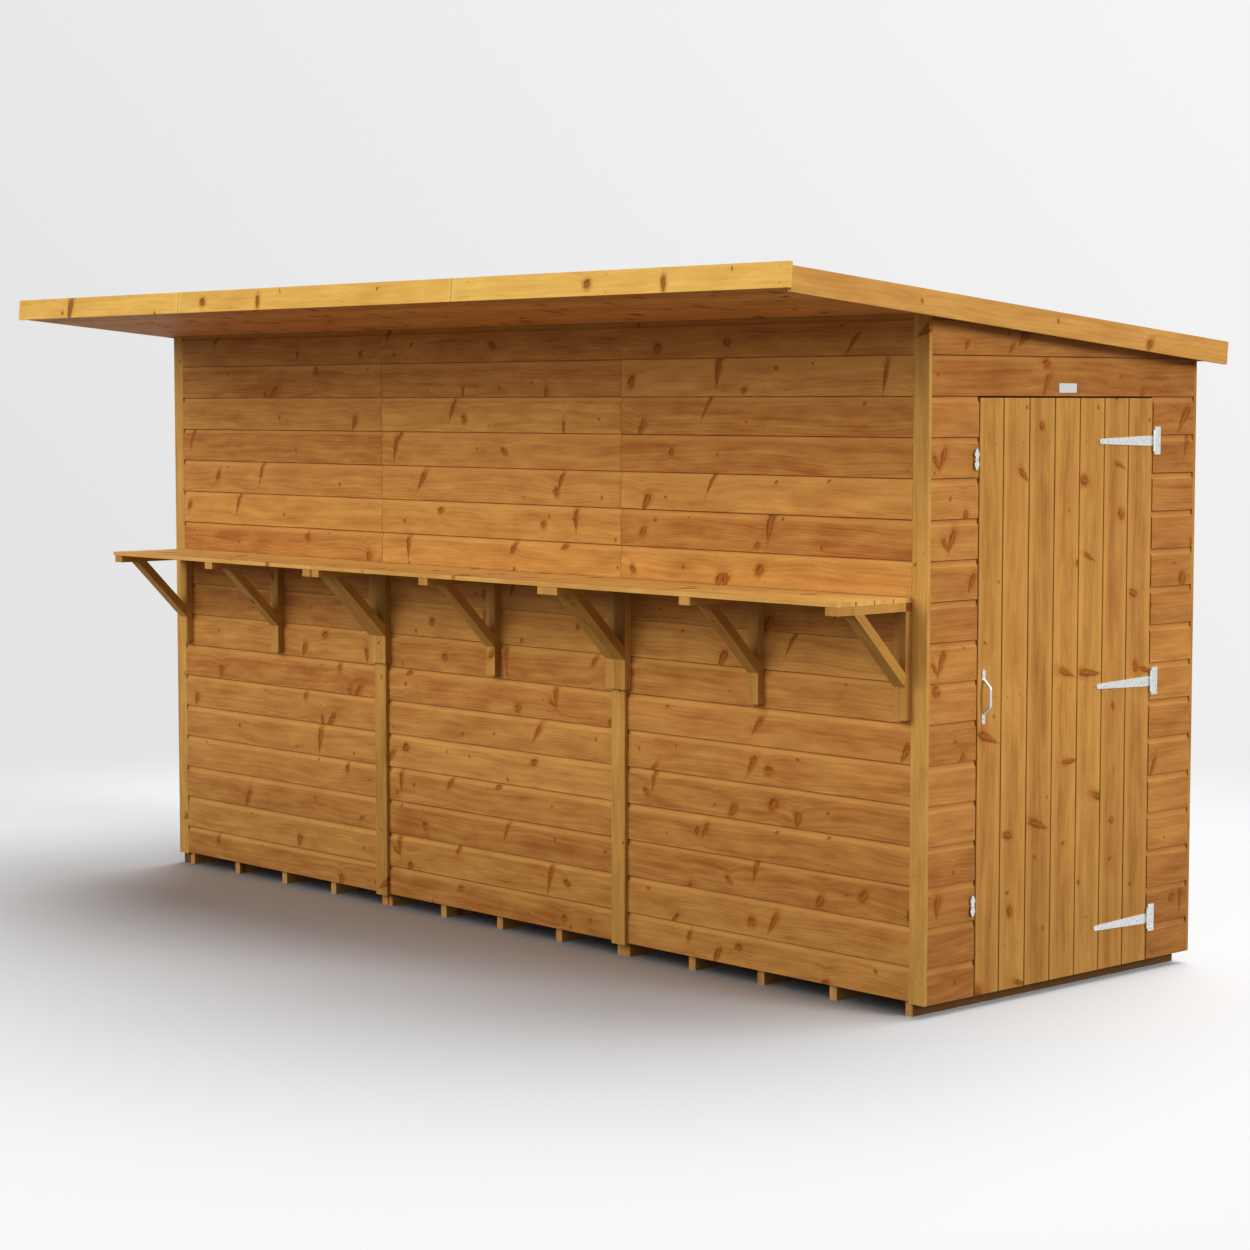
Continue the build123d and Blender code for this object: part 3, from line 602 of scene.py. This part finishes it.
def finish_solids():
    """Give every solid the finish of its own boards."""
    softwood = softwood_group(knot_group())
    # name, layout, pale and dark tone, share of cells with a spike knot and with a round one
    timbers = {
        "front": ("dip_treated_shiplap_front", front_cladding, "#CF964A", "#9C5B24", 0.42, 0.40),
        "end": ("dip_treated_shiplap_end", end_cladding, "#C58943", "#945522", 0.40, 0.40),
        "trim": ("planed_softwood_trim", upright_trim, "#CC9A4C", "#A06B2C", 0.06, 0.2),
        "counter": ("planed_softwood_counter", counter_boards, "#E6B262", "#C08A40", 0.15, 0.3),
        "bracket": ("planed_softwood_bracket", bracket_timber, "#CC984A", "#9C672C", 0.06, 0.2),
        "fascia": ("planed_softwood_fascia", fascia_board, "#F0C262", "#D49C44", 0.10, 0.3),
        "barge": ("planed_softwood_bargeboard", bargeboard, "#E0AA58", "#BC833E", 0.10, 0.3),
        # the soffit's tones are lighter than the other dip-treated boards': painted light, making up for its
        # shade under the roof
        "soffit": ("dip_treated_soffit_boards", soffit_boards, "#E6AA60", "#B87438", 0.3, 0.6),
        "door": ("dip_treated_door_boards", door_boards, "#CF984A", "#9D652C", 0.40, 0.45),
        "floor": ("dip_treated_floor_timber", floor_timber, "#CE9D58", "#9A6630", 0.2, 0.5),
        "framing": ("sawn_softwood_framing", framing_timber, "#D2A768", "#A9783C", 0.2, 0.4),
    }
    finishes = {key: softwood_material(softwood, *row) for key, row in timbers.items()}
    finishes["steel"] = galvanised_material()
    finishes["felt"] = felt_material()
    # the first word that is in a solid's name decides; what is left is front and back wall
    by_word = (
        ("hinge", "steel"), ("handle", "steel"), ("button", "steel"), ("felt", "felt"), ("fascia", "fascia"),
        ("barge", "barge"), ("soffit", "soffit"), ("door_leaf", "door"), ("floor", "floor"),
        ("shelf", "counter"), ("bracket", "bracket"), ("trim", "trim"), ("strip", "trim"),
        ("serving_post", "framing"), ("roof_deck", "framing"), ("end", "end"), ("", "front"),
    )
    for name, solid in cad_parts.items():
        key = next(key for word, key in by_word if word in name)
        for holder in solid.material_slots:
            holder.material = finishes[key]
    return finishes["steel"], finishes["felt"]


# Fixings: Geometry Nodes set one head on every marked place


def head_tree(name, material, slotted):
    """Low round heads on the points of a mesh, turned to its "facing" directions."""
    inputs = {"Places": "Geometry", "Head diameter": "Float", "Head rise": "Float", "Sunk": "Float",
              "Wander": "Float", "Seed": "Int"}
    tree, given = new_group(name, "GeometryNodeTree", inputs, {"Heads": "Geometry"})
    places, diameter, rise, sunk, wander, seed = given.outputs[:6]
    radius = add(tree, "MULTIPLY", diameter, 0.5)
    crown = add(tree, "MULTIPLY", radius, 0.72)
    tall = add(tree, "ADD", rise, sunk)
    head = add(tree, "GeometryNodeMeshCone", 12, 1, 1, crown, radius, tall, fill_type="NGON").outputs[0]
    if slotted:
        # a cross recess, cut to three quarters of the rise
        arm = add(tree, "MULTIPLY", diameter, 0.52)
        slit = add(tree, "MULTIPLY", diameter, 0.13)
        bars = []
        for size in ((arm, slit), (slit, arm)):
            shape = add(tree, XYZ, size[0], size[1], rise)
            bars.append(add(tree, "GeometryNodeMeshCube", shape).outputs[0])
        cross = add(tree, "GeometryNodeMeshBoolean", None, bars[0], operation="UNION", solver="EXACT")
        tree.links.new(bars[1], cross.inputs["Mesh 2"])
        lift = add(tree, "MULTIPLY_ADD", rise, 0.75, sunk)
        move = add(tree, XYZ, 0.0, 0.0, lift)
        raised = add(tree, "GeometryNodeTransform", cross, named={"Translation": move})
        cut = add(tree, "GeometryNodeMeshBoolean", head, raised, operation="DIFFERENCE", solver="EXACT")
        head = cut.outputs[0]
    lowered = add(tree, XYZ, 0.0, 0.0, add(tree, "MULTIPLY", sunk, -1.0))
    head = add(tree, "GeometryNodeTransform", head, named={"Translation": lowered})
    low = add(tree, VECTOR, (-1.0, -1.0, -1.0), named={"Scale": wander}, operation="SCALE")
    high = add(tree, VECTOR, (1.0, 1.0, 1.0), named={"Scale": wander}, operation="SCALE")
    chance = add(tree, "FunctionNodeRandomValue", low, high, named={"Seed": seed}, data_type="FLOAT_VECTOR")
    facing = add(tree, "GeometryNodeInputNamedAttribute", "facing", data_type="FLOAT_VECTOR").outputs[0]
    # heads stray along the surface only
    along = add(tree, VECTOR, chance, facing, operation="DOT_PRODUCT").outputs["Value"]
    outward = add(tree, VECTOR, facing, named={"Scale": along}, operation="SCALE")
    in_surface = add(tree, VECTOR, chance, outward, operation="SUBTRACT")
    strayed = add(tree, "GeometryNodeSetPosition", places, named={"Offset": in_surface})
    turn = add(tree, "FunctionNodeAlignRotationToVector", named={"Vector": facing}, axis="Z")
    set_out = add(tree, "GeometryNodeInstanceOnPoints", strayed, named={"Instance": head, "Rotation": turn})
    solid = add(tree, "GeometryNodeRealizeInstances", set_out)
    finished = add(tree, "GeometryNodeSetMaterial", solid, named={"Material": material})
    add(tree, "NodeGroupOutput", finished)
    return tree


# how far each head reaches into what it holds, in metres
HEAD_SUNK = 0.0006


def fixings(name, body, places, tree, diameter, rise, wander=0.0, seed=1):
    """One piece of heads at the given places, each a point and the way it faces."""
    mesh = bpy.data.meshes.new(name + "_places")
    mesh.from_pydata([point for point, facing in places], [], [])
    attribute = mesh.attributes.new("facing", "FLOAT_VECTOR", "POINT")
    attribute.data.foreach_set("vector", [value for point, facing in places for value in facing])
    marks = new_object(name + "_places", mesh)
    modifier = marks.modifiers.new("heads", "NODES")
    modifier.node_group = tree
    sizes = {"Head diameter": diameter, "Head rise": rise, "Sunk": HEAD_SUNK, "Wander": wander, "Seed": seed}
    for item in tree.interface.items_tree:
        if item.in_out == "INPUT" and item.name in sizes:
            modifier[item.identifier] = sizes[item.name]
    evaluated = marks.evaluated_get(bpy.context.evaluated_depsgraph_get())
    made = bpy.data.meshes.new_from_object(evaluated)
    made.name = name
    piece = new_object(name, made)
    bpy.data.objects.remove(marks)
    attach(piece, body)


FRONT = (0, -1, 0)
BACK = (0, 1, 0)
RIGHT = (1, 0, 0)
LEFT = (-1, 0, 0)
UP = (0, 0, 1)
UP_ROOF = (0, sin(ROOF_PITCH), cos(ROOF_PITCH))
DOWN_ROOF = (0, -sin(ROOF_PITCH), -cos(ROOF_PITCH))


# Where nails and screws go, in metres
STUDS = (-1.765, -1.209, -0.640, -0.550, 0.0, 0.550, 0.640, 1.209, 1.765)
BRACKETS = (-1.757, -1.1925, -0.6175, -0.5725, -0.0025, 0.5725, 0.6175, 1.1875, 1.757)
RAFTERS = (-1.872, -1.19, -0.595, 0.0, 0.595, 1.19, 1.855)
COURSES = 18
ABOVE_BOARD_EDGE = 0.025
CLEAR_OF_EDGE = 0.010
UNDER_ROOF = 0.030
CORNER_TRIM = 1.807
COVER_STRIP = 0.595
COVER_END = 0.100
TRIM_END = 0.060
TRIM_ROWS = 7
COUNTER_BOARDS = 4
DOOR_BOARDS = 7
STEEL_FACE = HALF_LENGTH + 0.0025
HINGE_AXIS = 0.391
CROSS_PLATE = 0.4155
HANDLE_IN = 0.024
HANDLE_MIDDLE = LEDGES[1] + 0.005
BUTTON_FACE = HALF_LENGTH + 0.0075
BUTTON_Y = -0.408
PLATE_HEIGHT = 1.7405
PLATE_THICK = 0.0014
UPPER_FELT = 0.002
UPPER_FELT_END = 0.42
FELT_COLUMNS = 160
FELT_LAP_SLOPE = 0.03
CLOUTS_ALONG = 45
CLOUTS_DOWN = 23
CLOUT_STEP = 0.078


def wall_top(y):
    """Height of the wall tops, which fall with the roof towards the back."""
    return EAVES - (y + HALF_DEPTH) * tan(ROOF_PITCH)


def roof_place(x, along, above):
    """Point on the roof: distance down the slope from the front wall, and height above the wall tops."""
    y = -HALF_DEPTH + along * cos(ROOF_PITCH) + above * sin(ROOF_PITCH)
    z = EAVES - along * sin(ROOF_PITCH) + above * cos(ROOF_PITCH)
    return (x, y, z)


def nail_heights(low, high):
    """One nail to a board, 25 mm up from its lower edge."""
    courses = [COURSE_START + course * COURSE + ABOVE_BOARD_EDGE for course in range(COURSES)]
    return [height for height in courses if low + CLEAR_OF_EDGE < height < high - CLEAR_OF_EDGE]


def wall_nails():
    """Nails in the cladding over the studs; the front's inner joints have none below the counter."""
    places = []
    for x in STUDS:
        low_studs = abs(x) > 1.0 or x == 0.0
        for z in nail_heights(JOIST_HEIGHT, wall_top(-HALF_DEPTH) - UNDER_ROOF):
            if z > SHELF_TOP + CLEAR_OF_EDGE or (low_studs and z < COUNTER):
                places.append(((x, -HALF_DEPTH, z), FRONT))
        for z in nail_heights(JOIST_HEIGHT, wall_top(HALF_DEPTH) - UNDER_ROOF):
            places.append(((x, HALF_DEPTH, z), BACK))
    # face of each end wall, the way it faces, the lowest height, and where its studs stand
    ends = (
        (HALF_LENGTH, RIGHT, WALL_BOTTOM, (-0.575, -0.408, 0.408, 0.575)),
        (HALF_LENGTH, RIGHT, DOORWAY_TOP, (-0.2, 0.2)),
        (-HALF_LENGTH, LEFT, WALL_BOTTOM, (-0.532, 0.0, 0.532)),
    )
    for x, facing, low, studs in ends:
        for y in studs:
            for z in nail_heights(low, wall_top(y) - UNDER_ROOF):
                places.append(((x, y, z), facing))
    return places


def trim_nails():
    """Nails in pairs up the corner trims, and one by one up the cover strips."""
    places = []
    for hand in (-1, 1):
        for side, facing in ((-1, FRONT), (1, BACK)):
            spread = wall_top(side * HALF_DEPTH) - WALL_BOTTOM - 2 * TRIM_END
            for row in range(TRIM_ROWS):
                z = WALL_BOTTOM + TRIM_END + row * spread / (TRIM_ROWS - 1)
                for shift in (-0.014, 0.014):
                    places.append(((hand * CORNER_TRIM + shift, side * HALF_DEPTH, z), facing))
        for side, facing, rows, step in ((-1, FRONT, 4, 0.225), (1, BACK, 7, 0.28)):
            for row in range(rows):
                y = side * (HALF_DEPTH + COVER_THICK)
                places.append(((hand * COVER_STRIP, y, COVER_END + row * step), facing))
    return places


def counter_nails():
    """Two nails in each counter board over every bracket, and two in each bracket's leg."""
    places = []
    for x in BRACKETS:
        for board in range(COUNTER_BOARDS):
            y = SHELF_FRONT + (board + 0.5) * SHELF_BOARD
            # each pair stands aslant
            for shift in (-0.018, 0.018):
                places.append(((x + shift * 0.4, y + shift, SHELF_TOP), UP))
        for z in (0.855, 0.905):
            places.append(((x, -HALF_DEPTH - BRACKET_THICK, z), FRONT))
    return places


def roof_nails():
    """Nails into the rafters' ends through the fascias, and up through the soffit."""
    places = []
    for x in RAFTERS:
        for above in (0.0, 0.045):
            places.append((roof_place(x, ROOF_FRONT, above), (0, -cos(ROOF_PITCH), sin(ROOF_PITCH))))
        places.append((roof_place(x, ROOF_REAR, 0.01), (0, cos(ROOF_PITCH), -sin(ROOF_PITCH))))
        for board in range(SOFFIT_BOARDS):
            for shift in (-0.03, 0.03):
                along = -(board + 0.5) * SOFFIT_BOARD + shift
                if along > ROOF_FRONT + 0.02:
                    places.append((roof_place(x, along, -0.008), DOWN_ROOF))
    return places


def door_nails():
    """Two nails in each board at every ledge."""
    places = []
    for board in range(DOOR_BOARDS):
        middle = DOOR_HALF - (board + 0.5) * DOOR_BOARD
        for shift in (-0.027, 0.027):
            y = middle + shift
            if abs(y) < DOOR_HALF - CLEAR_OF_EDGE:
                for z in LEDGES:
                    places.append(((HALF_LENGTH, y, z), RIGHT))
    return places


def clout_nails():
    """Big-headed nails round the felt and along its lap."""
    upper = FELT_ABOVE + UPPER_FELT
    places = []
    for n in range(CLOUTS_ALONG):
        x = ROOF_LEFT + 0.04 + n * (ROOF_RIGHT - ROOF_LEFT - 0.08) / (CLOUTS_ALONG - 1)
        places.append((roof_place(x, ROOF_REAR - 0.03, FELT_ABOVE), UP_ROOF))
        places.append((roof_place(x, UPPER_FELT_END - 0.025, upper), UP_ROOF))
        places.append((roof_place(x, ROOF_FRONT + 0.04, upper), UP_ROOF))
    for n in range(CLOUTS_DOWN):
        along = ROOF_FRONT + 0.08 + n * CLOUT_STEP
        above = upper if along < UPPER_FELT_END else FELT_ABOVE
        for x in (ROOF_LEFT + 0.035, ROOF_RIGHT - 0.035):
            places.append((roof_place(x, along, above), UP_ROOF))
    return places


def screw_places():
    """Screws of the hinge straps and pull handle, on the door, and of the cross plates, on the wall."""
    on_door, on_wall = [], []
    for z in LEDGES:
        for back in (0.045, 0.125, 0.215):
            on_door.append(((STEEL_FACE, HINGE_AXIS - back, z), RIGHT))
        for rise in (-0.031, -0.0125, 0.0125, 0.031):
            on_wall.append(((STEEL_FACE, CROSS_PLATE, z + rise), RIGHT))
    for rise in (-0.0615, 0.0615):
        on_door.append(((STEEL_FACE, HANDLE_IN - DOOR_HALF, HANDLE_MIDDLE + rise), RIGHT))
    return on_door, on_wall


def add_fixings(steel):
    """Every nail, screw and pin; the last two numbers of a row are how far heads stray, and a seed."""
    nail = head_tree("nail heads", nail_material(), False)
    clout = head_tree("clout nail heads", steel, False)
    screw = head_tree("cross-head screws", steel, True)
    nailed = (
        ("cladding_nails", "building", wall_nails(), nail, 0.0045, 0.0003, 0.004, 3),
        ("trim_nails", "building", trim_nails(), nail, 0.0042, 0.0003, 0.003, 5),
        ("counter_nails", "building", counter_nails(), nail, 0.0042, 0.0003, 0.003, 7),
        ("roof_edge_nails", "building", roof_nails(), nail, 0.0045, 0.0003, 0.003, 9),
        ("door_nails", "door", door_nails(), nail, 0.0052, 0.0004, 0.003, 11),
        ("clout_nails", "building", clout_nails(), clout, 0.009, 0.0008, 0.004, 13),
    )
    for row in nailed:
        fixings(*row)
    on_door, on_wall = screw_places()
    fixings("door_screws", "door", on_door, screw, 0.0085, 0.0016)
    fixings("hinge_plate_screws", "building", on_wall, screw, 0.0075, 0.0014)
    for body, z in (("lower_turn_button", 0.296), ("upper_turn_button", 1.543)):
        fixings(body + "_screw", body, [((BUTTON_FACE, BUTTON_Y, z), RIGHT)], screw, 0.009, 0.0018)
    pins = [((HALF_LENGTH + PLATE_THICK, y, PLATE_HEIGHT), RIGHT) for y in (-0.041, 0.026)]
    fixings("plate_pins", "building", pins, clout, 0.0035, 0.0006)


def piece_from(name, form, material, body):
    """Turn a bmesh into a finished piece that rides on a body."""
    bmesh.ops.recalc_face_normals(form, faces=form.faces)
    mesh = bpy.data.meshes.new(name)
    form.to_mesh(mesh)
    form.free()
    mesh.materials.append(material)
    piece = new_object(name, mesh)
    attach(piece, body)
    return piece


def add_name_plate():
    """Bare enamelled plate over the door, with round corners and a soft edge."""
    width, height, corner, soft = 0.079, 0.027, 0.003, 0.0005
    centre = Vector((HALF_LENGTH, -0.0075, PLATE_HEIGHT))
    form = bmesh.new()
    loops = []
    for out, inset in ((0.0, 0.0), (PLATE_THICK - soft, 0.0), (PLATE_THICK, soft)):
        loop = []
        for quarter, (sy, sz) in enumerate(((1, 1), (-1, 1), (-1, -1), (1, -1))):
            for step in range(6):
                angle = quarter * pi / 2 + step * pi / 10
                y = sy * (width / 2 - corner) + cos(angle) * (corner - inset)
                z = sz * (height / 2 - corner) + sin(angle) * (corner - inset)
                loop.append(form.verts.new(centre + Vector((out, y, z))))
        loops.append(loop)
    for low, high in zip(loops, loops[1:]):
        for i in range(len(low)):
            j = (i + 1) % len(low)
            form.faces.new((low[i], low[j], high[j], high[i]))
    form.faces.new(loops[-1])
    form.faces.new(list(reversed(loops[0])))
    piece_from("name_plate", form, enamel_material(), "building")


def add_upper_felt(felt):
    """Upper width of felt, lapped over the lower one, its cut edge slightly uneven."""
    form = bmesh.new()
    left, right, front = ROOF_LEFT + ROOF_BOARD, ROOF_RIGHT - ROOF_BOARD, ROOF_FRONT + ROOF_BOARD
    rows = []
    for n in range(FELT_COLUMNS + 1):
        x = left + n * (right - left) / FELT_COLUMNS
        edge = UPPER_FELT_END + 0.0022 * sin(n * 0.37) + 0.0014 * sin(n * 1.13 + 1.0)
        lip = 0.0006 * (1 + sin(n * 0.61))
        section = ((front, 0.0), (edge, lip), (edge, UPPER_FELT + lip), (edge - FELT_LAP_SLOPE, UPPER_FELT),
                   (front, UPPER_FELT))
        rows.append([form.verts.new(roof_place(x, along, FELT_ABOVE + above)) for along, above in section])
    for here, there in zip(rows, rows[1:]):
        for i in range(len(here)):
            j = (i + 1) % len(here)
            form.faces.new((here[i], here[j], there[j], there[i]))
    form.faces.new(rows[0])
    form.faces.new(list(reversed(rows[-1])))
    piece_from("upper_felt", form, felt, "building")


# Studio; lengths in metres

AMBIENT = 0.14
FLOOR_TONE = "#DDDFE1"
FLOOR_BOUNCE = "#7C7C7C"
FLOOR_REACH = 30.0
FADE_FROM = 2.6
FADE_TO = 5.0


def add_camera():
    """Camera that looks along +Y at no turn, turned towards -X."""
    data = bpy.data.cameras.new("camera")
    data.sensor_width = SENSOR_MM
    data.lens = FOCAL_PIXELS / IMAGE_PIXELS * SENSOR_MM
    camera = new_object("camera", data)
    turn = Matrix.Rotation(radians(CAMERA_TURN), 4, "Z")
    tilt = Matrix.Rotation(radians(90 - CAMERA_DROP), 4, "X")
    camera.matrix_world = Matrix.Translation(CAMERA_AT) @ turn @ tilt
    bpy.context.scene.camera = camera


def seen_directly(tree):
    """One for rays from the camera and for mirrored ones, zero for bounced light."""
    ray = add(tree, "ShaderNodeLightPath")
    mirrored = add(tree, "MAXIMUM", ray.outputs["Is Glossy Ray"], ray.outputs["Is Transmission Ray"])
    return add(tree, "MAXIMUM", ray.outputs["Is Camera Ray"], mirrored)


def add_floor():
    """Pale seamless floor that fades into the backdrop, so that no horizon shows."""
    mesh = bpy.data.meshes.new("studio_floor")
    corners = [(x * FLOOR_REACH, y * FLOOR_REACH, 0) for x, y in ((-1, -1), (1, -1), (1, 1), (-1, 1))]
    mesh.from_pydata(corners, [], [(0, 1, 2, 3)])
    floor = new_object("studio_floor", mesh)
    material = bpy.data.materials.new("matt_studio_floor")
    material.use_nodes = True
    tree = material.node_tree
    tree.nodes.clear()
    place = add(tree, "ShaderNodeTexCoord").outputs["Object"]
    distance = add(tree, VECTOR, place, operation="LENGTH").outputs["Value"]
    fade = add(tree, RANGE, distance, FADE_FROM, FADE_TO, 0.0, 1.0, **SMOOTH)
    paint = add(tree, "ShaderNodeBsdfDiffuse", tint(tree, seen_directly(tree), FLOOR_BOUNCE, FLOOR_TONE))
    clear = add(tree, "ShaderNodeBsdfTransparent")
    mixed = add(tree, "ShaderNodeMixShader", fade, paint, clear)
    add(tree, "ShaderNodeOutputMaterial", mixed)
    mesh.materials.append(material)
    return floor


def add_world():
    """Even white light on the object; a pale backdrop for the camera and in reflections."""
    world = bpy.data.worlds.new("studio")
    bpy.context.scene.world = world
    world.use_nodes = True
    tree = world.node_tree
    tree.nodes.clear()
    towards = add(tree, "ShaderNodeTexCoord").outputs["Generated"]
    across = add(tree, VECTOR, towards, (0.675, 0.738, 0.9), operation="DOT_PRODUCT").outputs["Value"]
    tone = add(tree, RANGE, across, -0.24, 0.36, 0.0, 1.0)
    low = add(tree, RANGE, add(tree, SPLIT, towards).outputs[2], -0.13, -0.26, 0.0, 1.0, **SMOOTH)
    shade = tint(tree, low, tint(tree, tone, "#E4E4E4", "#F6F6F6"), "#F8F8F8")
    seen = add(tree, "ShaderNodeBackground", shade, 1.0)
    light = add(tree, "ShaderNodeBackground", linear("#FFFFFF"), AMBIENT)
    add(tree, "ShaderNodeOutputWorld", add(tree, "ShaderNodeMixShader", seen_directly(tree), light, seen))


def add_sun(name, strength, spread, turn, height, kept_off=None):
    """Soft distant light, turned from the front towards the right; a flag keeps it off one object."""
    data = bpy.data.lights.new(name, "SUN")
    data.energy = strength
    data.angle = radians(spread)
    lamp = new_object(name, data)
    lamp.matrix_world = Matrix.Rotation(radians(turn), 4, "Z") @ Matrix.Rotation(radians(90 - height), 4, "X")
    if kept_off:
        flag = bpy.data.collections.new(name + "_flag")
        flag.objects.link(kept_off)
        lamp.light_linking.receiver_collection = flag
        flag.collection_objects[0].light_linking.link_state = "EXCLUDE"


steel, felt = finish_solids()
add_upper_felt(felt)
add_name_plate()
add_fixings(steel)
add_camera()
floor = add_floor()
add_world()
# strength, and in degrees spread, turn and height
add_sun("front_softbox", 2.5, 46.0, -22.0, 28.0, floor)
add_sun("fill_softbox", 0.6, 60.0, 50.0, 25.0)
add_sun("side_softbox", 2.0, 24.0, 105.0, 20.0)
add_sun("overhead_softbox", 3.1, 64.0, 176.0, 64.0)
bpy.context.scene.view_settings.view_transform = "Standard"
